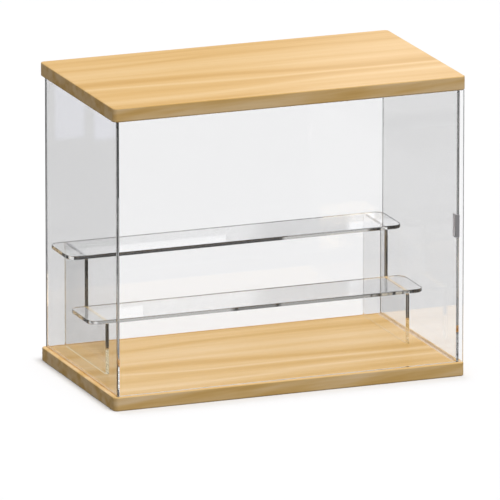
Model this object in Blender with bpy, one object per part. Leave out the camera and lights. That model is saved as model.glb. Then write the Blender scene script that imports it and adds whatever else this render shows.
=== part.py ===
"""Tabletop shadow box: two wooden boards, clear acrylic walls, a pin-hung front door and a two-tier riser.

Frame: origin at the centre of the underside of the base board, +X to the right, +Y to the back, +Z up.
The front door is at -Y and hangs on two steel pins at its left end.
"""
import math

import bmesh
import bpy

# Driving dimensions, in metres.
CASE_WIDTH = 0.400
CASE_DEPTH = 0.225
CASE_HEIGHT = 0.330
BOARD_THICKNESS = 0.015
BOARD_CORNER_RADIUS = 0.005
BOARD_EDGE_RADIUS = 0.0012
SHEET = 0.003
SHEET_EDGE_BREAK = 0.0002
MATING_GAP = 0.0003

# Clear walls: how far they stand in from the boards' edges, and how deep they enter the boards.
SIDE_INSET = 0.005
BACK_INSET = 0.0025
SIDE_FRONT_Y = -0.106
GROOVE_DEPTH = 0.004

# Door, hung between the boards in front of the side walls' ends.
DOOR_FRONT_INSET = 0.0023
DOOR_LEFT_X = -0.196
DOOR_RIGHT_X = 0.199
DOOR_END_CLEARANCE = 0.0005
PIN_RADIUS = 0.00075
PIN_REACH = 0.0055
DOOR_BORE_RADIUS = 0.0009
BOARD_BORE_RADIUS = 0.0011
BORE_DEPTH = 0.006

# Magnetic catch, at half height of the right wall's front end.
CATCH_HEIGHT = 0.025
CATCH_DEPTH = 0.007
CATCH_THICKNESS = 0.0014
STRIKE_WIDTH = 0.005
STRIKE_THICKNESS = 0.0006

# Riser: two equal steps, standing loose on the base board.
RISER_SHEET = 0.004
STEP_RISE = 0.0557
STEP_DEPTH = 0.0625
RISER_BACK_Y = 0.1045
RISER_CENTRE_X = -0.0005
RISER_SIDE_SPACING = 0.342
SHELF_LENGTH = 0.381
SHELF_CORNER_RADIUS = 0.010

# Facets on round stretches.
CORNER_SEGMENTS = 8
SHELF_CORNER_SEGMENTS = 10
BULLNOSE_SEGMENTS = 14
ROUND_SEGMENTS = 24
SMOOTH_ANGLE = math.radians(30)

# Places worked out from the driving dimensions.
BASE_TOP_Z = BOARD_THICKNESS
LID_UNDERSIDE_Z = CASE_HEIGHT - BOARD_THICKNESS
SIDE_OUTER_X = CASE_WIDTH / 2 - SIDE_INSET
SIDE_INNER_X = SIDE_OUTER_X - SHEET
BACK_OUTER_Y = CASE_DEPTH / 2 - BACK_INSET
BACK_INNER_Y = BACK_OUTER_Y - SHEET
WALL_LOW_Z = BASE_TOP_Z - GROOVE_DEPTH + MATING_GAP
WALL_HIGH_Z = LID_UNDERSIDE_Z + GROOVE_DEPTH - MATING_GAP
DOOR_FRONT_Y = -CASE_DEPTH / 2 + DOOR_FRONT_INSET
DOOR_LOW_Z = BASE_TOP_Z + DOOR_END_CLEARANCE
DOOR_HIGH_Z = LID_UNDERSIDE_Z - DOOR_END_CLEARANCE
PIVOT_X = DOOR_LEFT_X + SHEET / 2
PIVOT_Y = DOOR_FRONT_Y + SHEET / 2
MID_Z = CASE_HEIGHT / 2


def clear_scene():
    """Remove every object of the open scene."""
    for obj in list(bpy.data.objects):
        bpy.data.objects.remove(obj, do_unlink=True)


def make_material(name, colour, roughness, metallic=0.0, transmission=0.0, ior=1.5):
    """Return a Principled material."""
    material = bpy.data.materials.new(name)
    material.use_nodes = True
    shader = material.node_tree.nodes["Principled BSDF"]
    shader.inputs["Base Color"].default_value = (*colour, 1.0)
    shader.inputs["Roughness"].default_value = roughness
    shader.inputs["Metallic"].default_value = metallic
    shader.inputs["Transmission Weight"].default_value = transmission
    shader.inputs["IOR"].default_value = ior
    return material


def wood(name, colour):
    """Return lacquered pale wood."""
    return make_material(name, colour, roughness=0.45)


def clear_acrylic(name):
    """Return clear cast acrylic."""
    return make_material(name, (0.97, 0.98, 0.98), roughness=0.02, transmission=0.9, ior=1.49)


def steel(name, roughness):
    """Return bare steel."""
    return make_material(name, (0.62, 0.62, 0.64), roughness, metallic=1.0)


def magnet_rubber(name):
    """Return the grey plastic-bonded magnet strip."""
    return make_material(name, (0.36, 0.34, 0.36), roughness=0.5)


def add_object(name, mesh, material=None, parent=None):
    """Link a mesh as a named object, keeping its place in the world under a parent."""
    obj = bpy.data.objects.new(name, mesh)
    bpy.context.scene.collection.objects.link(obj)
    if material is not None:
        mesh.materials.append(material)
    if parent is not None:
        obj.parent = parent
        obj.location = -parent.location
    return obj


def prism_mesh(name, outline, low, high, axis="Z"):
    """Extrude a closed outline from low to high along an axis.

    The outline's two coordinates are X, Y for axis Z and Y, Z for axis X.
    """
    bm = bmesh.new()
    if axis == "Z":
        points = [(a, b, low) for a, b in outline]
        travel = (0.0, 0.0, high - low)
    else:
        points = [(low, a, b) for a, b in outline]
        travel = (high - low, 0.0, 0.0)
    face = bm.faces.new([bm.verts.new(point) for point in points])
    extruded = bmesh.ops.extrude_face_region(bm, geom=[face])
    moved = [item for item in extruded["geom"] if isinstance(item, bmesh.types.BMVert)]
    bmesh.ops.translate(bm, verts=moved, vec=travel)
    bmesh.ops.recalc_face_normals(bm, faces=bm.faces)
    mesh = bpy.data.meshes.new(name)
    bm.to_mesh(mesh)
    bm.free()
    mesh.shade_smooth()
    mesh.set_sharp_from_angle(angle=SMOOTH_ANGLE)
    return mesh


def arc(centre_x, centre_y, radius, start_degrees, end_degrees, segments):
    """Return the points of an arc, both ends included."""
    points = []
    for step in range(segments + 1):
        angle = math.radians(start_degrees + (end_degrees - start_degrees) * step / segments)
        points.append((centre_x + radius * math.cos(angle), centre_y + radius * math.sin(angle)))
    return points


def rectangle(x_low, x_high, y_low, y_high):
    """Return a rectangle's four corners."""
    return [(x_low, y_low), (x_high, y_low), (x_high, y_high), (x_low, y_high)]


def rounded_rectangle(x_low, x_high, y_low, y_high, radius, segments):
    """Return a rectangle whose corners are arcs."""
    outline = arc(x_high - radius, y_high - radius, radius, 0, 90, segments)
    outline += arc(x_low + radius, y_high - radius, radius, 90, 180, segments)
    outline += arc(x_low + radius, y_low + radius, radius, 180, 270, segments)
    outline += arc(x_high - radius, y_low + radius, radius, 270, 360, segments)
    return outline


def circle(centre_x, centre_y, radius):
    """Return a full circle's points."""
    return arc(centre_x, centre_y, radius, 0, 360, ROUND_SEGMENTS)[:-1]


def soften_edges(obj, width, segments):
    """Round or break the edges between an object's flat faces."""
    bevel = obj.modifiers.new("eased_edges", "BEVEL")
    bevel.width = width
    bevel.segments = segments
    bevel.limit_method = "ANGLE"
    bevel.angle_limit = SMOOTH_ANGLE


def cut(obj, name, outline, low, high):
    """Cut an upright prism out of an object."""
    cutter = add_object(name, prism_mesh(name, outline, low, high), parent=obj.parent)
    cutter.hide_render = True
    cutter.display_type = "WIRE"
    boolean = obj.modifiers.new(name, "BOOLEAN")
    boolean.operation = "DIFFERENCE"
    boolean.solver = "EXACT"
    boolean.object = cutter


def wall_groove_outline():
    """Return the U-shaped groove that holds the two side walls and the back wall."""
    out_x = SIDE_OUTER_X + MATING_GAP
    in_x = SIDE_INNER_X - MATING_GAP
    front_y = SIDE_FRONT_Y - MATING_GAP
    out_y = BACK_OUTER_Y + MATING_GAP
    in_y = BACK_INNER_Y - MATING_GAP
    return [
        (-out_x, front_y), (-in_x, front_y), (-in_x, in_y), (in_x, in_y),
        (in_x, front_y), (out_x, front_y), (out_x, out_y), (-out_x, out_y),
    ]


def make_board(name, low_z, inner_z, inward, material):
    """Make a board with the wall groove and the pin bore in its inner face; inward is +1 up or -1 down."""
    outline = rounded_rectangle(
        -CASE_WIDTH / 2, CASE_WIDTH / 2, -CASE_DEPTH / 2, CASE_DEPTH / 2, BOARD_CORNER_RADIUS, CORNER_SEGMENTS
    )
    board = add_object(name, prism_mesh(name, outline, low_z, low_z + BOARD_THICKNESS), material)
    soften_edges(board, BOARD_EDGE_RADIUS, 3)
    past_face = inner_z + inward * 0.002
    groove_floor = inner_z - inward * GROOVE_DEPTH
    bore_floor = inner_z - inward * BORE_DEPTH
    cut(board, name + "_groove_cut", wall_groove_outline(), *sorted((groove_floor, past_face)))
    bore = circle(PIVOT_X, PIVOT_Y, BOARD_BORE_RADIUS)
    cut(board, name + "_bore_cut", bore, *sorted((bore_floor, past_face)))
    return board


def make_boards():
    """Make the base board and the top board."""
    make_board("base_board", 0.0, BASE_TOP_Z, 1, wood("base_wood", (0.78, 0.58, 0.33)))
    make_board("top_board", LID_UNDERSIDE_Z, LID_UNDERSIDE_Z, -1, wood("top_wood", (0.80, 0.60, 0.35)))


def make_walls():
    """Make the two side walls and the back wall."""
    for name, side in (("left_panel", -1), ("right_panel", 1)):
        x_low, x_high = sorted((side * SIDE_OUTER_X, side * SIDE_INNER_X))
        outline = rectangle(x_low, x_high, SIDE_FRONT_Y, BACK_INNER_Y - MATING_GAP)
        mesh = prism_mesh(name, outline, WALL_LOW_Z, WALL_HIGH_Z)
        soften_edges(add_object(name, mesh, clear_acrylic(name + "_acrylic")), SHEET_EDGE_BREAK, 1)
    outline = rectangle(-SIDE_OUTER_X, SIDE_OUTER_X, BACK_INNER_Y, BACK_OUTER_Y)
    mesh = prism_mesh("back_panel", outline, WALL_LOW_Z, WALL_HIGH_Z)
    soften_edges(add_object("back_panel", mesh, clear_acrylic("back_panel_acrylic")), SHEET_EDGE_BREAK, 1)


def make_door_pivot():
    """Make the empty that stands on the door's joint axis."""
    pivot = bpy.data.objects.new("door_pivot", None)
    pivot.location = (PIVOT_X, PIVOT_Y, MID_Z)
    bpy.context.scene.collection.objects.link(pivot)
    return pivot


def make_door(pivot):
    """Make the door: a sheet whose left end is half round about the pins, bored at top and bottom."""
    outline = arc(PIVOT_X, PIVOT_Y, SHEET / 2, 90, 270, BULLNOSE_SEGMENTS)
    outline += [(DOOR_RIGHT_X, DOOR_FRONT_Y), (DOOR_RIGHT_X, DOOR_FRONT_Y + SHEET)]
    mesh = prism_mesh("front_door", outline, DOOR_LOW_Z, DOOR_HIGH_Z)
    door = add_object("front_door", mesh, clear_acrylic("front_door_acrylic"), pivot)
    soften_edges(door, SHEET_EDGE_BREAK, 1)
    past_edge = 0.002
    bore_depth = BORE_DEPTH + MATING_GAP
    bore = circle(PIVOT_X, PIVOT_Y, DOOR_BORE_RADIUS)
    cut(door, "door_lower_bore_cut", bore, DOOR_LOW_Z - past_edge, DOOR_LOW_Z + bore_depth)
    cut(door, "door_upper_bore_cut", bore, DOOR_HIGH_Z - bore_depth, DOOR_HIGH_Z + past_edge)


def make_hinge_pins(pivot):
    """Make the two pins, each held in the door's edge and reaching into a board's bore."""
    spans = {
        "hinge_pin_lower": (BASE_TOP_Z - PIN_REACH, DOOR_LOW_Z + BORE_DEPTH),
        "hinge_pin_upper": (DOOR_HIGH_Z - BORE_DEPTH, LID_UNDERSIDE_Z + PIN_REACH),
    }
    for name, (low, high) in spans.items():
        mesh = prism_mesh(name, circle(PIVOT_X, PIVOT_Y, PIN_RADIUS), low, high)
        add_object(name, mesh, steel(name + "_steel", 0.25), pivot)


def make_catch(pivot):
    """Make the magnet bar on the right wall's inner face and the strike plate on the door's inner face."""
    low = MID_Z - CATCH_HEIGHT / 2
    high = MID_Z + CATCH_HEIGHT / 2
    bar_right_x = SIDE_INNER_X - MATING_GAP
    bar = rectangle(bar_right_x - CATCH_THICKNESS, bar_right_x, SIDE_FRONT_Y, SIDE_FRONT_Y + CATCH_DEPTH)
    bar_obj = add_object("magnetic_catch", prism_mesh("magnetic_catch", bar, low, high), magnet_rubber("magnet"))
    soften_edges(bar_obj, SHEET_EDGE_BREAK, 1)
    plate_back_y = SIDE_FRONT_Y - MATING_GAP
    plate = rectangle(SIDE_OUTER_X - STRIKE_WIDTH, SIDE_OUTER_X, plate_back_y - STRIKE_THICKNESS, plate_back_y)
    add_object("strike_plate", prism_mesh("strike_plate", plate, low, high), steel("strike_steel", 0.35), pivot)


def riser_side_outline():
    """Return the stepped side plate's outline in Y and Z."""
    foot_z = BASE_TOP_Z + MATING_GAP
    low_step_z = BASE_TOP_Z + STEP_RISE
    high_step_z = low_step_z + STEP_RISE
    mid_y = RISER_BACK_Y - STEP_DEPTH
    front_y = mid_y - STEP_DEPTH
    return [
        (front_y, foot_z), (RISER_BACK_Y, foot_z), (RISER_BACK_Y, high_step_z),
        (mid_y, high_step_z), (mid_y, low_step_z), (front_y, low_step_z),
    ]


def make_riser():
    """Make the riser's two stepped side plates and its two shelves."""
    for name, side in (("riser_side_left", -1), ("riser_side_right", 1)):
        centre_x = RISER_CENTRE_X + side * RISER_SIDE_SPACING / 2
        mesh = prism_mesh(name, riser_side_outline(), centre_x - RISER_SHEET / 2, centre_x + RISER_SHEET / 2, axis="X")
        soften_edges(add_object(name, mesh, clear_acrylic(name + "_acrylic")), SHEET_EDGE_BREAK, 1)
    mid_y = RISER_BACK_Y - STEP_DEPTH
    shelves = {
        "riser_shelf_lower": (mid_y - STEP_DEPTH, mid_y - MATING_GAP, BASE_TOP_Z + STEP_RISE),
        "riser_shelf_upper": (mid_y, RISER_BACK_Y, BASE_TOP_Z + 2 * STEP_RISE),
    }
    left_x = RISER_CENTRE_X - SHELF_LENGTH / 2
    for name, (front_y, back_y, step_z) in shelves.items():
        outline = rounded_rectangle(
            left_x, left_x + SHELF_LENGTH, front_y, back_y, SHELF_CORNER_RADIUS, SHELF_CORNER_SEGMENTS
        )
        low_z = step_z + MATING_GAP
        mesh = prism_mesh(name, outline, low_z, low_z + RISER_SHEET)
        soften_edges(add_object(name, mesh, clear_acrylic(name + "_acrylic")), SHEET_EDGE_BREAK, 1)


def main():
    clear_scene()
    make_boards()
    make_walls()
    pivot = make_door_pivot()
    make_door(pivot)
    make_hinge_pins(pivot)
    make_catch(pivot)
    make_riser()


main()
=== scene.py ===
import math

import bmesh
import bpy
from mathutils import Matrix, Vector


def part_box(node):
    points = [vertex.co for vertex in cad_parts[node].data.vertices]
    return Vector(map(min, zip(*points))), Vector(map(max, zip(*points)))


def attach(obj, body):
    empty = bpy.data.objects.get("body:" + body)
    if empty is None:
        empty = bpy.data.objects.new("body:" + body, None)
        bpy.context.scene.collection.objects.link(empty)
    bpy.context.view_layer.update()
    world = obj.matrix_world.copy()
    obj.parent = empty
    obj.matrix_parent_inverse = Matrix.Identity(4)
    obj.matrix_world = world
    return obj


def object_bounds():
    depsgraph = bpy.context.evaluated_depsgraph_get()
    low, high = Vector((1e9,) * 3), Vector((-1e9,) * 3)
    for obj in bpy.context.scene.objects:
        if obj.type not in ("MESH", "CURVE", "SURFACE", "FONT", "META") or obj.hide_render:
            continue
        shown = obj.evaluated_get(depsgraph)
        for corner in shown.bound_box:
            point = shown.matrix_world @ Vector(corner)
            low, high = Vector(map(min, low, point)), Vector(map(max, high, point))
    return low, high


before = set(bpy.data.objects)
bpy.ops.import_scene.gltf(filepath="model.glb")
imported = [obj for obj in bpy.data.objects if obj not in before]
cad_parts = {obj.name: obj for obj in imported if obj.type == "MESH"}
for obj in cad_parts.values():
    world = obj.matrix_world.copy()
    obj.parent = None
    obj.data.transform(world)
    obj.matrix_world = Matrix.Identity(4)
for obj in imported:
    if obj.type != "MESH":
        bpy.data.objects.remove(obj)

CAD_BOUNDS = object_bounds()

# Lengths are in metres, except the lens and the sensor, which are in millimetres.
# Camera: a long lens, left of the front and a little above.
CAMERA_AZIMUTH = math.radians(-21.2)
CAMERA_ELEVATION = math.radians(14.76)
CAMERA_DISTANCE = 12.53
CAMERA_LENS = 844.3
CAMERA_SENSOR = 36.0
CAMERA_SLIDE_RIGHT = -0.0025
CAMERA_SLIDE_UP = -0.0334
CAMERA_REACH = 100.0

# Studio: floor, surroundings, lights and the light's greatest number of bounces.
FLOOR_HALF = 60.0
FLOOR_PALE = (0.90, 0.90, 0.90, 1.0)
FLOOR_DARK = (0.03, 0.03, 0.03, 1.0)
BACKDROP = (1.0, 1.0, 1.0, 1.0)
ROOM_DARK = (0.03, 0.03, 0.03, 1.0)
ROOM_WALL = (0.52, 0.52, 0.53, 1.0)
ROOM_RISE = 8.0  # how fast the room's wall brightens above the horizon
FILL_ABOVE = (0.36, 0.36, 0.37, 1.0)
FILL_BELOW = (0.13, 0.13, 0.13, 1.0)
FILL_RISE = 4.0  # how fast the fill changes from below to above at the horizon
FILL_LEVEL = 0.5
KEY_FROM = (0.17, -0.40, 0.90)
KEY_STRENGTH = 2.12
KEY_SPREAD = 50.0
BACK_FROM = (-0.05, 0.78, 0.62)
BACK_STRENGTH = 0.70
BACK_SPREAD = 40.0
ALL_BOUNCES = 64
CLEAR_BOUNCES = 40

# Wood. Its figure leans across the board by this much for each metre of height.
RING_TILT = 0.45
# Each band of the boards' figure: its place across the board, how far it swings to either side, where
# along X and over what length, its half width, and how much paler (or darker) it is.
GRAIN_BANDS = (
    (0.098, 0.004, -0.090, 0.060, 0.0045, -0.28),
    (0.081, 0.003, -0.060, 0.060, 0.0030, -0.12),
    (0.066, 0.008, -0.070, 0.070, 0.0050, -0.42),
    (0.036, 0.004, -0.060, 0.100, 0.0140, 0.26),
    (0.020, 0.002, 0.000, 0.100, 0.0030, -0.14),
    (0.008, -0.002, 0.000, 0.100, 0.0070, 0.24),
    (-0.017, -0.010, 0.020, 0.090, 0.0080, -0.52),
    (-0.032, -0.006, -0.120, 0.050, 0.0040, 0.42),
    (-0.052, 0.004, -0.100, 0.120, 0.0100, -0.26),
    (-0.075, 0.012, -0.010, 0.070, 0.0060, 0.34),
    (-0.097, 0.010, 0.000, 0.080, 0.0070, -0.22),
)
# Noise along the grain: its rates per metre along X, across the grain and along Z, its detail, its
# roughness, how far it is slipped along X, and its strength.
WANDER = ((5.0, 30.0, 10.0), 1.0, 0.5, 0.0, 0.010)
STREAKS = ((3.0, 130.0, 60.0), 3.0, 0.6, 3.0, 0.55)
CLOUD = ((4.0, 26.0, 9.0), 1.0, 0.5, 7.0, 0.5)
# The slanting figure on the boards' sides: its rates along X, Y and Z, its slant, and its noise's
# detail, roughness and strength.
SIDE_RATES = (8.0, 60.0, 80.0)
SIDE_SLANT = 6.0
SIDE_NOISE = (2.0, 0.5, 3.0)
TONE_LEVEL = 0.5
TONE_STOPS = (
    (0.05, (0.715, 0.430, 0.130)),
    (0.35, (0.780, 0.495, 0.180)),
    (0.60, (0.825, 0.550, 0.238)),
    (0.95, (0.880, 0.620, 0.315)),
)
# Fibres and pores: rates along X, Y and Z, the noise's detail and roughness, colours, and share.
FIBRE_RATES = (12.0, 640.0, 640.0)
FIBRE_NOISE = (2.0, 0.6)
FIBRE_STOPS = ((0.3, (0.94, 0.92, 0.88)), (0.65, (1.0, 1.0, 1.0)))
FIBRE_SHARE = 0.7
FIBRE_BUMP = (0.10, 0.0002)  # strength and height
PORE_RATES = (60.0, 2400.0, 2400.0)
PORE_NOISE = (1.0, 0.5)
PORE_STOPS = ((0.26, (0.78, 0.70, 0.60)), (0.33, (1.0, 1.0, 1.0)))
PORE_SHARE = 0.6
WOOD_ROUGHNESS = (0.40, 0.32)  # between fibres and on them
WOOD_SPECULAR = 0.22
# Each board: its seed, the tint of its flat faces, and the tint of its sides, which is paler and bluer
# as a painted sheen.
BOARDS = (
    ("base_board", 11.0, (1.0, 1.02, 1.10), (1.07, 1.12, 1.28)),
    ("top_board", 4.0, (0.960, 0.930, 0.84), (1.04, 1.06, 1.12)),
)

FINE_DETAIL = 3.0  # of the noise in acrylic, adhesive and the catch

# Acrylic.
ACRYLIC_NODES = (
    "left_panel", "right_panel", "back_panel", "front_door",
    "riser_side_left", "riser_side_right", "riser_shelf_lower", "riser_shelf_upper",
)
ACRYLIC_IOR = 1.49
PLATE_IOR = 1.27  # the riser's side plates, darker at their front edges in the photo
CLEAR = (1.0, 1.0, 1.0, 1.0)
SMEAR_RATE = 9.0
SMEAR_ROUGHNESS = 0.02
# Warm brown tint on the left plate's rear end face: painted wood-coloured light in the plate.
REAR_END_PAINTED_WOOD_LIGHT = (0.62, 0.56, 0.44, 1.0)
PAINTED_REAR_END_DEPTH = 0.0001  # how much of a plate's rear end is tinted as painted wood-coloured light
FOOT_HEIGHT = 0.00005  # and how much of its lower end as its foot

# Dried adhesive: its colours where it is clear, where it thickens and where it is milky, and its
# least and greatest haze. The gold of the lower seams and the foot film is painted wood-coloured
# light, and the near black of the upper seams is painted shade.
SEAM_LOWER_MILK_AND_WOOD_LIGHT = ((0.90, 0.62, 0.26), (1.0, 0.84, 0.52), (1.0, 0.98, 0.90), (0.8, 1.0))
SEAM_UPPER_MILK_AND_SHADE = ((0.10, 0.10, 0.11), (0.18, 0.18, 0.19), (0.70, 0.70, 0.70), (0.7, 1.0))
FOOT_FILM_MILK_AND_WOOD_LIGHT = ((1.0, 0.80, 0.46), (1.0, 0.88, 0.60), (1.0, 0.96, 0.84), (0.9, 1.0))
BEAD = ((0.70, 0.57, 0.46), (0.86, 0.73, 0.61), (1.0, 0.92, 0.84), (0.30, 0.65))
MILK_RATE = 260.0
MILK_STOPS = (0.35, 0.60, 0.72)
ADHESIVE_ROUGHNESS = 0.35

# Metal: each steel's colour, roughness and how metallic it is. The catch is smoky plastic.
PIN_STEEL = ((0.62, 0.62, 0.64), 0.25, 1.0)
STRIKE_STEEL = ((0.47, 0.46, 0.47), 0.45, 0.15)
METAL_GRAIN_RATES = (400.0, 400.0, 4000.0)
METAL_GRAIN = 0.08
CATCH_RIM = 0.0009
# The catch's darker rim is painted edge shade.
CATCH_RIM_SHADE = (0.66, 0.64, 0.67, 1.0)
CATCH_STOPS = ((0.3, (0.84, 0.82, 0.84)), (0.7, (0.91, 0.89, 0.91)))
CATCH_RATE = 500.0
CATCH_ROUGHNESS = (0.30, 0.45)
CATCH_CLEAR = (0.7, 0.88)  # at the rim, less clear as painted edge shade, and inside it
CATCH_IOR = 1.2

# Films between the riser's plates and shelves, and beads along the side walls' feet.
JOINT_GAP = 0.0003  # between the riser's plates and shelves
FILM_THICKNESS = 0.0001
FILM_END = 0.001
FILM_SHARE_LEFT = 0.9  # how much of the plate's thickness the films cover on the left
FILM_SHARE_RIGHT = 0.4  # and on the right
FILM_FULLNESS = 0.94
FILM_WAVER = 0.16
FILM_TIP = 0.4  # how wide a film is at its very end, and how much it widens with each step
FILM_WIDENING = 0.3
SEAM_STEPS = 40
BEAD_STEPS = 60
BEAD_SEGMENTS = 6
BEAD_LEG = 0.0026
BEAD_CLEAR = 0.0001
BEAD_WAVER = 0.08
WAVER_SLOW = (1.7, 0.3)  # radians per step, and size
WAVER_QUICK = (4.1, 0.2)

# Cards. The light path's count of reflections tells first reflections from later ones.
NO_REFLECTION = 0.5
ONE_REFLECTION = 1.5
CARD_AWAY = 0.60  # how far behind or before the middle of the case a standing card is
CARD_LIFT = 0.0004  # above the floor
CARD_FADE_LEAST = 0.001
HARD = (0.0, 0.0)  # fades across and up
SOFT = (0.05, 0.05)
BAR_GAP = 0.45  # the dim share of a barred card, and how bright it is beside the bars
BAR_DIM = 0.55
# Windows behind the case, seen in first reflections: x, z, width, height, glow, fades across and up.
WINDOW_CARDS = (
    ("window_left", -0.06, 0.19, 0.32, 0.20, (1.25, 1.26, 1.28), (0.13, 0.05)),
    ("window_right", 0.343, 0.19, 0.5, 0.25, (1.27, 1.28, 1.32), (0.02, 0.05)),
    ("window_high", 0.16, 0.44, 0.7, 0.9, (1.7, 1.7, 1.75), (0.3, 0.05)),
    ("pane_wide", -0.424, 0.106, 0.041, 0.12, (0.24, 0.25, 0.33), (0.15, 0.08)),
    ("pane_narrow", -0.467, 0.101, 0.038, 0.12, (0.27, 0.28, 0.38), (0.2, 0.08)),
)
# Lit floor behind the case, which piped light finds: x, y, width, reach, grey glow.
FLOOR_BEHIND = (
    ("near_left", -0.60, 0.12, 0.56, 0.335, 0.42),
    ("near_middle", -0.04, 0.12, 0.125, 0.335, 0.56),
    ("near_stripe", 0.085, 0.12, 0.05, 0.335, 0.14),
    ("near_right", 0.135, 0.12, 0.113, 0.335, 0.36),
    ("side_right", 0.248, 0.12, 0.45, 0.30, 0.32),
    ("far_right", 0.248, 0.42, 0.45, 0.40, 0.56),
)
# What each upright sheet pipes to its front edge: the side it leaves to, the reach of its strip of
# floor, that strip's glow, and the glow of the dashes at the strip's far end.
PIPED_CARDS = (
    ("left_panel", -1, 0.685, 0.50, 2.6),
    ("left_panel", 1, 0.685, 0.10, 2.6),
    ("right_panel", -1, 1.6, 0.40, 0.70),
    ("right_panel", 1, 1.6, 0.40, 0.70),
    ("riser_side_left", -1, 0.39, 0.05, 0.0),
    ("riser_side_left", 1, 0.39, 0.05, 0.0),
    ("riser_side_right", -1, 0.39, 0.05, 0.0),
    ("riser_side_right", 1, 0.39, 0.05, 0.0),
)
PIPED_WIDTH = 0.018
PIPED_START = 0.012
DASH_AWAY = 0.60
DASH_FOOT = 0.188
DASH_HEIGHT = 0.044
DASH_BARS = 7
# What the shelves pipe to their front edges, from behind the case: x, z, width, height, glow, fades.
EDGE_HEIGHT = 0.019
EDGE_FADES = (0.06, 0.04)
EDGE_CARDS = (
    ("upper_dim", -0.02, 0.260, 0.277, EDGE_HEIGHT, (0.05, 0.05, 0.05), EDGE_FADES),
    ("upper_bright", 0.257, 0.260, 0.110, EDGE_HEIGHT, (0.56, 0.56, 0.55), EDGE_FADES),
    ("upper_end", 0.380, 0.260, 0.05, EDGE_HEIGHT, (0.27, 0.24, 0.19), EDGE_FADES),
    ("lower_bright", 0.03, 0.221, 0.175, EDGE_HEIGHT, (0.56, 0.56, 0.55), EDGE_FADES),
    ("lower_dim", 0.205, 0.221, 0.048, EDGE_HEIGHT, (0.24, 0.24, 0.24), EDGE_FADES),
    ("lower_right", 0.253, 0.221, 0.127, EDGE_HEIGHT, (0.40, 0.40, 0.39), EDGE_FADES),
    ("lower_end", 0.380, 0.221, 0.05, EDGE_HEIGHT, (0.62, 0.57, 0.48), EDGE_FADES),
    ("lower_corner", 0.10, 0.2405, 0.35, EDGE_HEIGHT, (1.1, 1.1, 1.1), EDGE_FADES),
    ("corner", 0.20, 0.2795, 0.8, 0.155, (1.1, 1.1, 1.1), (0.02, 0.04)),
)
# The shelves' left ends look out through their right ends, to the front and up: as above.
SIDE_CARDS = (
    ("upper_side", 0.40, 0.314, 0.08, 0.028, (2.4, 1.85, 1.15), SOFT),
    ("lower_side", 0.40, 0.241, 0.08, 0.028, (2.4, 1.85, 1.15), SOFT),
)
# Lit floor in front, for piped light: x, y, lift, width, reach, glow, fades across and along.
FLOOR_IN_FRONT = (
    ("front_left", -0.36, -0.24, CARD_LIFT, 0.40, 0.14, (1.6, 1.3, 0.9), SOFT),
    ("front_middle", -0.12, -1.15, CARD_LIFT, 0.316, 0.90, (0.75, 0.75, 0.75), HARD),
    ("front_gold", 0.25, -0.30, 2 * CARD_LIFT, 0.08, 0.12, (1.9, 1.4, 0.8), SOFT),
    ("front_right", 0.196, -0.95, CARD_LIFT, 0.42, 1.05, (0.75, 0.75, 0.75), HARD),
)
# Dimly lit floor that the panels mirror in first reflections: as above.
FLOOR_MIRRORED = (
    ("first_near", -0.25, 0.13, CARD_LIFT, 0.45, 0.82, (0.12, 0.12, 0.12), SOFT),
    ("first_far", -0.45, 0.95, CARD_LIFT, 0.45, 0.5, (0.20, 0.20, 0.20), (0.1, 0.1)),
)


def make_camera():
    """Make the camera at the photograph's viewing angle."""
    azimuth, elevation = CAMERA_AZIMUTH, CAMERA_ELEVATION
    back = Vector((
        math.sin(azimuth) * math.cos(elevation),
        -math.cos(azimuth) * math.cos(elevation),
        math.sin(elevation),
    ))
    right = Vector((math.cos(azimuth), math.sin(azimuth), 0.0))
    up = back.cross(right)
    centre = (CAD_BOUNDS[0] + CAD_BOUNDS[1]) / 2
    data = bpy.data.cameras.new("camera")
    data.lens = CAMERA_LENS
    data.sensor_width = CAMERA_SENSOR
    data.clip_end = CAMERA_REACH
    camera = bpy.data.objects.new("camera", data)
    slide = right * CAMERA_SLIDE_RIGHT + up * CAMERA_SLIDE_UP
    camera.location = centre + back * CAMERA_DISTANCE + slide
    camera.rotation_mode = "QUATERNION"
    camera.rotation_quaternion = (-back).to_track_quat("-Z", "Y")
    bpy.context.scene.collection.objects.link(camera)
    bpy.context.scene.camera = camera


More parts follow.
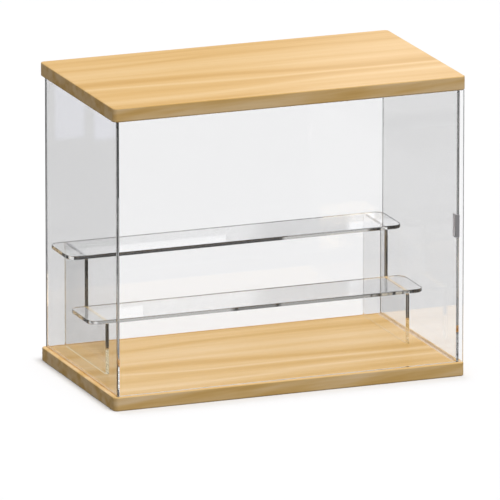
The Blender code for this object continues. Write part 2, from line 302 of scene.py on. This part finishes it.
class Nodes:
    """A small helper that adds and joins shader nodes."""

    def __init__(self, owner):
        owner.use_nodes = True
        self.tree = owner.node_tree
        self.shader = self.tree.nodes.get("Principled BSDF")
        self.background = self.tree.nodes.get("Background")

    def add(self, kind, **settings):
        node = self.tree.nodes.new("ShaderNode" + kind)
        for name, value in settings.items():
            setattr(node, name, value)
        return node

    def put(self, socket, value):
        """Feed a socket from another socket or set its value."""
        if isinstance(value, bpy.types.NodeSocket):
            self.tree.links.new(value, socket)
        else:
            socket.default_value = value

    def math(self, operation, *values, clamp=False):
        node = self.add("Math", operation=operation, use_clamp=clamp)
        for socket, value in zip(node.inputs, values):
            self.put(socket, value)
        return node.outputs[0]

    def within(self, value, low, high):
        """Return 1 where a value lies between two limits, else 0."""
        above = self.math("GREATER_THAN", value, low)
        below = self.math("LESS_THAN", value, high)
        return self.math("MULTIPLY", above, below)

    def spread(self, value, low, high):
        """Return a value of 0 to 1 spread over another range."""
        node = self.add("MapRange")
        self.put(node.inputs["Value"], value)
        node.inputs["To Min"].default_value = low
        node.inputs["To Max"].default_value = high
        return node.outputs[0]

    def parts(self, vector):
        """Return a vector's three parts."""
        node = self.add("SeparateXYZ")
        self.put(node.inputs[0], vector)
        return node.outputs

    def joined(self, *parts):
        """Return a vector made of three parts."""
        node = self.add("CombineXYZ")
        for socket, part in zip(node.inputs, parts):
            self.put(socket, part)
        return node.outputs[0]

    def texture_parts(self, kind):
        """Return the three parts of one of the texture coordinates."""
        return self.parts(self.add("TexCoord").outputs[kind])

    def coordinates(self, scale=(1.0, 1.0, 1.0), shift=(0.0, 0.0, 0.0)):
        """Return the piece's own position in metres, scaled and shifted."""
        source = self.add("TexCoord").outputs["Object"]
        mapping = self.add("Mapping")
        self.put(mapping.inputs["Vector"], source)
        mapping.inputs["Scale"].default_value = scale
        mapping.inputs["Location"].default_value = shift
        return mapping.outputs["Vector"]

    def noise(self, vector, detail=2.0, roughness=0.5):
        node = self.add("TexNoise")
        self.put(node.inputs["Vector"], vector)
        node.inputs["Scale"].default_value = 1.0
        node.inputs["Detail"].default_value = detail
        node.inputs["Roughness"].default_value = roughness
        return node.outputs["Fac"]

    def ramp(self, factor, stops):
        """Return a colour ramp's colour; stops are (position, colour) pairs."""
        node = self.add("ValToRGB")
        self.put(node.inputs["Fac"], factor)
        elements = node.color_ramp.elements
        while len(elements) < len(stops):
            elements.new(0.5)
        for element, (position, colour) in zip(elements, stops):
            element.position = position
            element.color = (*colour, 1.0)
        return node.outputs["Color"]

    def mix(self, factor, a, b, blend="MIX"):
        node = self.add("Mix", data_type="RGBA", blend_type=blend)
        self.put(node.inputs[0], factor)
        self.put(node.inputs[6], a)
        self.put(node.inputs[7], b)
        return node.outputs[2]

    def bump(self, height, strength, distance):
        node = self.add("Bump")
        self.put(node.inputs["Height"], height)
        node.inputs["Strength"].default_value = strength
        node.inputs["Distance"].default_value = distance
        return node.outputs["Normal"]


def grain_bands(nodes, x, across):
    """Return how pale the board's own growth figure is at a place: above 0 pale, below 0 dark."""
    total = 0.0
    for place, swing, middle, run, width, strength in GRAIN_BANDS:
        bend = nodes.math("TANH", nodes.math("DIVIDE", nodes.math("SUBTRACT", x, middle), run))
        line = nodes.math("ADD", nodes.math("MULTIPLY", bend, swing), place)
        off = nodes.math("DIVIDE", nodes.math("SUBTRACT", across, line), width)
        square = nodes.math("MULTIPLY", off, off)
        fall = nodes.math("EXPONENT", nodes.math("MULTIPLY", square, -1.0))
        total = nodes.math("ADD", total, nodes.math("MULTIPLY", fall, strength))
    return total


def centred_noise(nodes, vector, detail, roughness, strength):
    """Return noise that swings to either side of 0."""
    swing = nodes.math("SUBTRACT", nodes.noise(vector, detail, roughness), 0.5)
    return nodes.math("MULTIPLY", swing, strength)


def wood_material(name, face, seed, face_tint, side_sheen_tint):
    """Pale lacquered wood. Its grain runs along X and is tilted, so that every face cuts it. Its sides
    are tinted paler and bluer than its flat faces, as a painted sheen.
    """
    material = bpy.data.materials.new(name)
    nodes = Nodes(material)
    shader = nodes.shader
    x, y, z = nodes.parts(nodes.coordinates(shift=(0.0, 0.0, -face)))
    across = nodes.math("ADD", y, nodes.math("MULTIPLY", z, RING_TILT))

    def along(rates, detail, roughness, slip, strength):
        """Return noise that is drawn out along the grain."""
        vector = nodes.joined(
            nodes.math("ADD", nodes.math("MULTIPLY", x, rates[0]), seed + slip),
            nodes.math("MULTIPLY", across, rates[1]),
            nodes.math("MULTIPLY", z, rates[2]),
        )
        return centred_noise(nodes, vector, detail, roughness, strength)

    bands = grain_bands(nodes, x, nodes.math("ADD", across, along(*WANDER)))
    flat = nodes.math("ABSOLUTE", nodes.texture_parts("Normal")[2])
    edge = nodes.math("SUBTRACT", 1.0, flat)
    slanted = nodes.joined(
        nodes.math("ADD", nodes.math("MULTIPLY", x, SIDE_RATES[0]), seed),
        nodes.math("MULTIPLY", y, SIDE_RATES[1]),
        nodes.math(
            "SUBTRACT", nodes.math("MULTIPLY", z, SIDE_RATES[2]), nodes.math("MULTIPLY", x, SIDE_SLANT)
        ),
    )
    figure = nodes.math("MULTIPLY", centred_noise(nodes, slanted, *SIDE_NOISE), edge)
    tone = nodes.math("ADD", nodes.math("MULTIPLY", bands, flat), along(*STREAKS))
    tone = nodes.math("ADD", tone, nodes.math("ADD", along(*CLOUD), figure))
    colour = nodes.ramp(nodes.math("ADD", tone, TONE_LEVEL), TONE_STOPS)
    fibre = nodes.noise(nodes.coordinates(FIBRE_RATES, (seed, 0.0, 0.0)), *FIBRE_NOISE)
    colour = nodes.mix(FIBRE_SHARE, colour, nodes.ramp(fibre, FIBRE_STOPS), "MULTIPLY")
    pore = nodes.noise(nodes.coordinates(PORE_RATES, (seed, 0.0, 0.0)), *PORE_NOISE)
    colour = nodes.mix(PORE_SHARE, colour, nodes.ramp(pore, PORE_STOPS), "MULTIPLY")
    # Painted sheen: the sides get a paler, bluer tint than the flat faces.
    tint = nodes.mix(flat, (*side_sheen_tint, 1.0), (*face_tint, 1.0))
    nodes.put(shader.inputs["Base Color"], nodes.mix(1.0, colour, tint, "MULTIPLY"))
    nodes.put(shader.inputs["Roughness"], nodes.spread(fibre, *WOOD_ROUGHNESS))
    nodes.put(shader.inputs["Normal"], nodes.bump(fibre, *FIBRE_BUMP))
    shader.inputs["Specular IOR Level"].default_value = WOOD_SPECULAR
    return material


def acrylic_material(name, ior=ACRYLIC_IOR, foot=None, painted_rear_end=None):
    """Clear cast acrylic. Below foot it shows the wood under it; its rear end can be tinted warm
    brown, as painted wood-coloured light.
    """
    material = bpy.data.materials.new(name)
    nodes = Nodes(material)
    shader = nodes.shader
    shader.inputs["Base Color"].default_value = CLEAR
    shader.inputs["Transmission Weight"].default_value = 1.0
    shader.inputs["IOR"].default_value = ior
    smear = nodes.noise(nodes.coordinates((SMEAR_RATE,) * 3), FINE_DETAIL)
    nodes.put(shader.inputs["Roughness"], nodes.spread(smear, 0.0, SMEAR_ROUGHNESS))
    if foot is not None:
        at_foot = nodes.math("LESS_THAN", nodes.texture_parts("Object")[2], foot + FOOT_HEIGHT)
        nodes.put(shader.inputs["Alpha"], nodes.math("SUBTRACT", 1.0, at_foot))
    # Painted wood-coloured light: the rear end face is tinted warm brown.
    if painted_rear_end is not None:
        y = nodes.texture_parts("Object")[1]
        at_end = nodes.math("GREATER_THAN", y, painted_rear_end - PAINTED_REAR_END_DEPTH)
        nodes.put(shader.inputs["Base Color"], nodes.mix(at_end, CLEAR, REAR_END_PAINTED_WOOD_LIGHT))
    return material


def adhesive_material(name, thin, thick, clouds, haze):
    """Dried adhesive, milky in places. The lower seams and the foot film are given gold as painted
    light, the upper seams near black as painted shade.
    """
    material = bpy.data.materials.new(name)
    nodes = Nodes(material)
    shader = nodes.shader
    milk = nodes.noise(nodes.coordinates((MILK_RATE,) * 3), FINE_DETAIL)
    stops = tuple(zip(MILK_STOPS, (thin, thick, clouds)))
    # Painted light and shade: the seams' and the foot film's colours stand in for wood-coloured light
    # and for shade.
    nodes.put(shader.inputs["Base Color"], nodes.ramp(milk, stops))
    nodes.put(shader.inputs["Alpha"], nodes.spread(milk, *haze))
    shader.inputs["Roughness"].default_value = ADHESIVE_ROUGHNESS
    return material


def metal_material(name, colour, roughness, metallic):
    """Brushed steel."""
    material = bpy.data.materials.new(name)
    nodes = Nodes(material)
    shader = nodes.shader
    grain = nodes.noise(nodes.coordinates(METAL_GRAIN_RATES))
    rough = nodes.spread(grain, roughness - METAL_GRAIN, roughness + METAL_GRAIN)
    nodes.put(shader.inputs["Roughness"], rough)
    shader.inputs["Base Color"].default_value = (*colour, 1.0)
    shader.inputs["Metallic"].default_value = metallic
    return material


def catch_material(name, node):
    """Smoky translucent plastic round a small magnet, darker and less clear at its rim as painted edge
    shade.
    """
    material = bpy.data.materials.new(name)
    nodes = Nodes(material)
    shader = nodes.shader
    low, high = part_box(node)
    place = nodes.texture_parts("Object")
    core = 1.0
    for axis in (1, 2):
        rim = nodes.within(place[axis], low[axis] + CATCH_RIM, high[axis] - CATCH_RIM)
        core = nodes.math("MULTIPLY", core, rim)
    mottle = nodes.noise(nodes.coordinates((CATCH_RATE,) * 3), FINE_DETAIL)
    body = nodes.ramp(mottle, CATCH_STOPS)
    # Painted edge shade: the rim is darker than the body.
    nodes.put(shader.inputs["Base Color"], nodes.mix(core, CATCH_RIM_SHADE, body))
    nodes.put(shader.inputs["Roughness"], nodes.spread(mottle, *CATCH_ROUGHNESS))
    nodes.put(shader.inputs["Transmission Weight"], nodes.spread(core, *CATCH_CLEAR))
    shader.inputs["IOR"].default_value = CATCH_IOR
    return material


def let_light_through(piece):
    """Keep a piece from shading what is under it, and out of bounced light."""
    piece.visible_shadow = False
    piece.visible_diffuse = False


def give(node, material):
    """Give a CAD node a material in place of its own."""
    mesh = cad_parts[node].data
    mesh.materials.clear()
    mesh.materials.append(material)


def make_materials():
    for node, seed, face_tint, side_sheen_tint in BOARDS:
        give(node, wood_material(node + "_wood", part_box(node)[1][2], seed, face_tint, side_sheen_tint))
    # The photo's inside is as bright as its surroundings, so the top board doesn't shade it.
    let_light_through(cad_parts["top_board"])
    plain = acrylic_material("clear_acrylic")
    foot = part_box("riser_side_left")[0][2]
    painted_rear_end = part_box("riser_side_left")[1][1]
    plates = {
        "riser_side_left": acrylic_material("plate_acrylic_left", PLATE_IOR, foot, painted_rear_end),
        "riser_side_right": acrylic_material("plate_acrylic_right", PLATE_IOR, foot),
    }
    for node in ACRYLIC_NODES:
        give(node, plates.get(node, plain))
        let_light_through(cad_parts[node])
    for node in ("hinge_pin_lower", "hinge_pin_upper"):
        give(node, metal_material(node + "_steel", *PIN_STEEL))
    give("strike_plate", metal_material("strike_steel", *STRIKE_STEEL))
    give("magnetic_catch", catch_material("catch_plastic", "magnetic_catch"))


def add_piece(name, sections, material):
    """Add a closed piece on the case, lofted through rings of equally many points."""
    mesh = bpy.data.meshes.new(name)
    shape = bmesh.new()
    rings = [[shape.verts.new(point) for point in ring] for ring in sections]
    for ring, following in zip(rings, rings[1:]):
        around = zip(ring, ring[1:] + ring[:1], following[1:] + following[:1], following)
        for corners in around:
            shape.faces.new(corners)
    shape.faces.new(rings[0][::-1])
    shape.faces.new(rings[-1])
    bmesh.ops.recalc_face_normals(shape, faces=shape.faces)
    shape.to_mesh(mesh)
    shape.free()
    mesh.materials.append(material)
    piece = bpy.data.objects.new(name, mesh)
    bpy.context.scene.collection.objects.link(piece)
    let_light_through(piece)
    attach(piece, "case")


def waver(step, seed):
    """Return a number that wavers round 0 from step to step, as hand-run adhesive does."""
    slow, slow_size = WAVER_SLOW
    quick, quick_size = WAVER_QUICK
    return slow_size * math.sin(slow * step + seed) + quick_size * math.sin(quick * step + 2 * seed)


def add_foot_film():
    """Add the film of adhesive under the riser's left plate, gold as painted wood-coloured light."""
    low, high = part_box("riser_side_left")
    middle = (low[0] + high[0]) / 2
    half = (high[0] - low[0]) / 2 - FILM_THICKNESS
    top = (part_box("base_board")[1][2] + low[2]) / 2 + FILM_THICKNESS / 2
    ring = [(-half, -FILM_THICKNESS), (half, -FILM_THICKNESS), (half, 0.0), (-half, 0.0)]
    ends = (low[1] + FILM_THICKNESS, high[1] - FILM_THICKNESS)
    sections = [[(middle + x, y, top + z) for x, z in ring] for y in ends]
    # Its gold colour is painted wood-coloured light.
    add_piece("riser_foot_film", sections, adhesive_material("foot_adhesive_painted_light", *FOOT_FILM_MILK_AND_WOOD_LIGHT))


def add_seams():
    """Add the thin films of adhesive between the riser's plates and shelves, gold under the lower
    shelf as painted wood-coloured light and near black under the upper one as painted shade.
    """
    # Painted light under the lower shelf, painted shade under the upper one.
    shelves = (
        ("riser_shelf_lower", adhesive_material("seam_adhesive_lower_painted_light", *SEAM_LOWER_MILK_AND_WOOD_LIGHT)),
        ("riser_shelf_upper", adhesive_material("seam_adhesive_upper_painted_shade", *SEAM_UPPER_MILK_AND_SHADE)),
    )
    for side, share in (("left", FILM_SHARE_LEFT), ("right", FILM_SHARE_RIGHT)):
        plate_low, plate_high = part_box("riser_side_" + side)
        middle = (plate_low[0] + plate_high[0]) / 2
        half = (plate_high[0] - plate_low[0]) / 2 * share
        for seed, (shelf, material) in enumerate(shelves):
            low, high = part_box(shelf)
            top = low[2] - JOINT_GAP / 2 + FILM_THICKNESS / 2
            foot = top - FILM_THICKNESS
            sections = []
            for step in range(SEAM_STEPS + 1):
                y = low[1] + FILM_END + (high[1] - low[1] - 2 * FILM_END) * step / SEAM_STEPS
                from_end = min(step, SEAM_STEPS - step)
                reach = half * min(1.0, FILM_TIP + FILM_WIDENING * from_end)
                left, right = (
                    middle + way * reach * (FILM_FULLNESS - FILM_WAVER * abs(waver(step, phase)))
                    for way, phase in ((-1, seed), (1, seed + 3))
                )
                sections.append([(left, y, foot), (right, y, foot), (right, y, top), (left, y, top)])
            add_piece(f"{shelf}_seam_{side}", sections, material)


def add_bead(name, start, end, legs, material):
    """Add a concave bead along an inner corner. legs are its two directions out of the corner."""
    start, end = Vector(start), Vector(end)
    first, second = Vector(legs[0]), Vector(legs[1])
    sections = []
    for step in range(BEAD_STEPS + 1):
        corner = start.lerp(end, step / BEAD_STEPS)
        size = BEAD_LEG * (1.0 + BEAD_WAVER * waver(step, len(name)))
        ring = [corner]
        for turn in range(BEAD_SEGMENTS + 1):
            angle = math.pi / 2 * turn / BEAD_SEGMENTS
            out = first * size * (1 - math.sin(angle)) + second * size * (1 - math.cos(angle))
            ring.append(corner + out)
        sections.append(ring)
    add_piece(name, sections, material)


def add_beads():
    """Run a bead of adhesive along the foot of each side wall, on the inside."""
    material = adhesive_material("bead_adhesive", *BEAD)
    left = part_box("left_panel")[1][0] + BEAD_CLEAR
    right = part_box("right_panel")[0][0] - BEAD_CLEAR
    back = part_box("back_panel")[0][1] - BEAD_CLEAR
    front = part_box("left_panel")[0][1] + 2 * BEAD_LEG
    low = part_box("base_board")[1][2] + BEAD_CLEAR
    for name, x, inward in (("bead_foot_left", left, 1), ("bead_foot_right", right, -1)):
        add_bead(name, (x, front, low), (x, back, low), ((inward, 0, 0), (0, 0, 1)), material)


def unreflected(nodes):
    """Return 1 on a light path that has met no mirror so far, else 0."""
    return nodes.math("LESS_THAN", nodes.add("LightPath").outputs["Glossy Depth"], NO_REFLECTION)


def reflected_once(nodes):
    """Return 1 on a light path that has met one mirror so far, else 0."""
    depth = nodes.add("LightPath").outputs["Glossy Depth"]
    return nodes.within(depth, NO_REFLECTION, ONE_REFLECTION)


def reflected_more(nodes):
    """Return 1 on a light path that has met more than one mirror, as piped light has, else 0."""
    depth = nodes.add("LightPath").outputs["Glossy Depth"]
    return nodes.math("GREATER_THAN", depth, ONE_REFLECTION)


def make_floor():
    """Make the pale floor. Reflections and bounced light find it dark, as in a black studio."""
    half = FLOOR_HALF
    mesh = bpy.data.meshes.new("floor")
    corners = [(-half, -half, 0.0), (half, -half, 0.0), (half, half, 0.0), (-half, half, 0.0)]
    mesh.from_pydata(corners, [], [(0, 1, 2, 3)])
    floor = bpy.data.objects.new("floor", mesh)
    bpy.context.scene.collection.objects.link(floor)
    material = bpy.data.materials.new("floor")
    nodes = Nodes(material)
    colour = nodes.mix(unreflected(nodes), FLOOR_DARK, FLOOR_PALE)
    nodes.put(nodes.shader.inputs["Base Color"], colour)
    nodes.shader.inputs["Roughness"].default_value = 1.0
    nodes.shader.inputs["Specular IOR Level"].default_value = 0.0
    mesh.materials.append(material)
    floor.visible_glossy = False
    floor.visible_diffuse = False


def make_world():
    """Make the surroundings: white behind the object, a dim room in its reflections, soft fill."""
    world = bpy.data.worlds.new("studio")
    bpy.context.scene.world = world
    nodes = Nodes(world)
    height = nodes.texture_parts("Generated")[2]
    above = nodes.math("MULTIPLY", height, ROOM_RISE, clamp=True)
    room = nodes.mix(nodes.math("MULTIPLY", above, reflected_once(nodes)), ROOM_DARK, ROOM_WALL)
    rising = nodes.math("MULTIPLY_ADD", height, FILL_RISE, FILL_LEVEL, clamp=True)
    fill = nodes.mix(rising, FILL_BELOW, FILL_ABOVE)
    colour = nodes.mix(unreflected(nodes), room, BACKDROP)
    colour = nodes.mix(nodes.add("LightPath").outputs["Is Diffuse Ray"], colour, fill)
    nodes.put(nodes.background.inputs["Color"], colour)


def add_card(name, corner, across, up, glow, fades, first=True, bars=0):
    """Add a glowing card that only first reflections, or only later ones, see.

    It fades at its edges, and bars of it can be brighter than what lies between them.
    """
    mesh = bpy.data.meshes.new(name)
    corner, across, up = Vector(corner), Vector(across), Vector(up)
    corners = [corner, corner + across, corner + across + up, corner + up]
    mesh.from_pydata(corners, [], [(0, 1, 2, 3)])
    mesh.uv_layers.new(name="UVMap")
    for loop, place in zip(mesh.uv_layers[0].data, ((0, 0), (1, 0), (1, 1), (0, 1))):
        loop.uv = place
    card = bpy.data.objects.new(name, mesh)
    bpy.context.scene.collection.objects.link(card)
    card.visible_camera = False
    card.visible_diffuse = False
    card.visible_shadow = False
    material = bpy.data.materials.new(name)
    nodes = Nodes(material)
    shares = nodes.texture_parts("UV")
    strength = reflected_once(nodes) if first else reflected_more(nodes)
    for share, fade in zip(shares[:2], fades):
        for edge in (share, nodes.math("SUBTRACT", 1.0, share)):
            ramp = nodes.add("MapRange", interpolation_type="SMOOTHSTEP")
            nodes.put(ramp.inputs["Value"], edge)
            ramp.inputs["From Max"].default_value = max(fade, CARD_FADE_LEAST)
            strength = nodes.math("MULTIPLY", strength, ramp.outputs[0])
    if bars:
        share = nodes.math("FRACT", nodes.math("MULTIPLY", shares[1], bars))
        bar = nodes.math("MULTIPLY", nodes.math("GREATER_THAN", share, BAR_GAP), 1.0 - BAR_DIM)
        strength = nodes.math("MULTIPLY", strength, nodes.math("ADD", bar, BAR_DIM))
    emission = nodes.add("Emission")
    emission.inputs["Color"].default_value = (*glow, 1.0)
    mix = nodes.add("MixShader")
    nodes.put(mix.inputs[0], strength)
    nodes.put(mix.inputs[1], nodes.add("BsdfTransparent").outputs[0])
    nodes.put(mix.inputs[2], emission.outputs[0])
    nodes.tree.nodes.remove(nodes.shader)
    nodes.put(nodes.tree.nodes["Material Output"].inputs["Surface"], mix.outputs[0])
    material.cycles.emission_sampling = "NONE"
    mesh.materials.append(material)


def stand_cards(rows, y, first):
    """Stand up the cards of a table at one distance."""
    for name, x, z, width, height, glow, fades in rows:
        add_card(name, (x, y, z), (width, 0, 0), (0, 0, height), glow, fades, first)


def lay_cards(rows, first):
    """Lay the cards of a table on the floor."""
    for name, x, y, lift, width, reach, glow, fades in rows:
        add_card(name, (x, y, lift), (width, 0, 0), (0, reach, 0), glow, fades, first)


def make_piped_cards():
    """Lay and stand what each upright sheet pipes to its front edge, to the left and to the right."""
    eye = bpy.context.scene.camera.location
    y = CAD_BOUNDS[1][1] + PIPED_START
    for node, side, reach, strip, dashes in PIPED_CARDS:
        low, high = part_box(node)
        middle = (low[0] + high[0]) / 2
        slope = side * (middle - eye.x) / (low[1] - eye.y)
        x = middle + slope * PIPED_START - PIPED_WIDTH / 2
        name = node + ("_piped_left" if side < 0 else "_piped_right")
        add_card(name, (x, y, 2 * CARD_LIFT), (PIPED_WIDTH, 0, 0), (slope * reach, reach, 0),
                 (strip,) * 3, HARD, first=False)
        if dashes:
            corner = (x + slope * DASH_AWAY - PIPED_WIDTH / 2, y + DASH_AWAY, DASH_FOOT)
            add_card(name + "_low", corner, (2 * PIPED_WIDTH, 0, 0), (0, 0, DASH_HEIGHT),
                     (dashes,) * 3, HARD, first=False, bars=DASH_BARS)


def make_cards():
    """Set out the cards and patches of lit floor that show in the clear sheets and their edges."""
    stand_cards(WINDOW_CARDS, CARD_AWAY, True)
    lay_cards([
        (name, x, y, CARD_LIFT, width, reach, (grey,) * 3, HARD)
        for name, x, y, width, reach, grey in FLOOR_BEHIND
    ], False)
    make_piped_cards()
    stand_cards(EDGE_CARDS, CARD_AWAY, False)
    stand_cards(SIDE_CARDS, -CARD_AWAY, False)
    lay_cards(FLOOR_IN_FRONT, False)
    lay_cards(FLOOR_MIRRORED, True)


def make_lights():
    """Light the object with a soft key from above the front and a weaker light from behind."""
    for name, direction, strength, spread in (
        ("key", KEY_FROM, KEY_STRENGTH, KEY_SPREAD),
        ("back_light", BACK_FROM, BACK_STRENGTH, BACK_SPREAD),
    ):
        data = bpy.data.lights.new(name, "SUN")
        data.energy = strength
        data.angle = math.radians(spread)
        light = bpy.data.objects.new(name, data)
        light.rotation_mode = "QUATERNION"
        light.rotation_quaternion = Vector(direction).to_track_quat("Z", "Y")
        bpy.context.scene.collection.objects.link(light)
        light.visible_transmission = False
        light.visible_glossy = False


def main():
    make_camera()
    make_materials()
    make_floor()
    make_world()
    make_lights()
    make_cards()
    add_foot_film()
    add_seams()
    add_beads()
    scene = bpy.context.scene
    scene.view_settings.view_transform = "Standard"
    scene.cycles.max_bounces = ALL_BOUNCES
    scene.cycles.transmission_bounces = CLEAR_BOUNCES
    scene.cycles.glossy_bounces = CLEAR_BOUNCES
    scene.cycles.use_denoising = True


main()
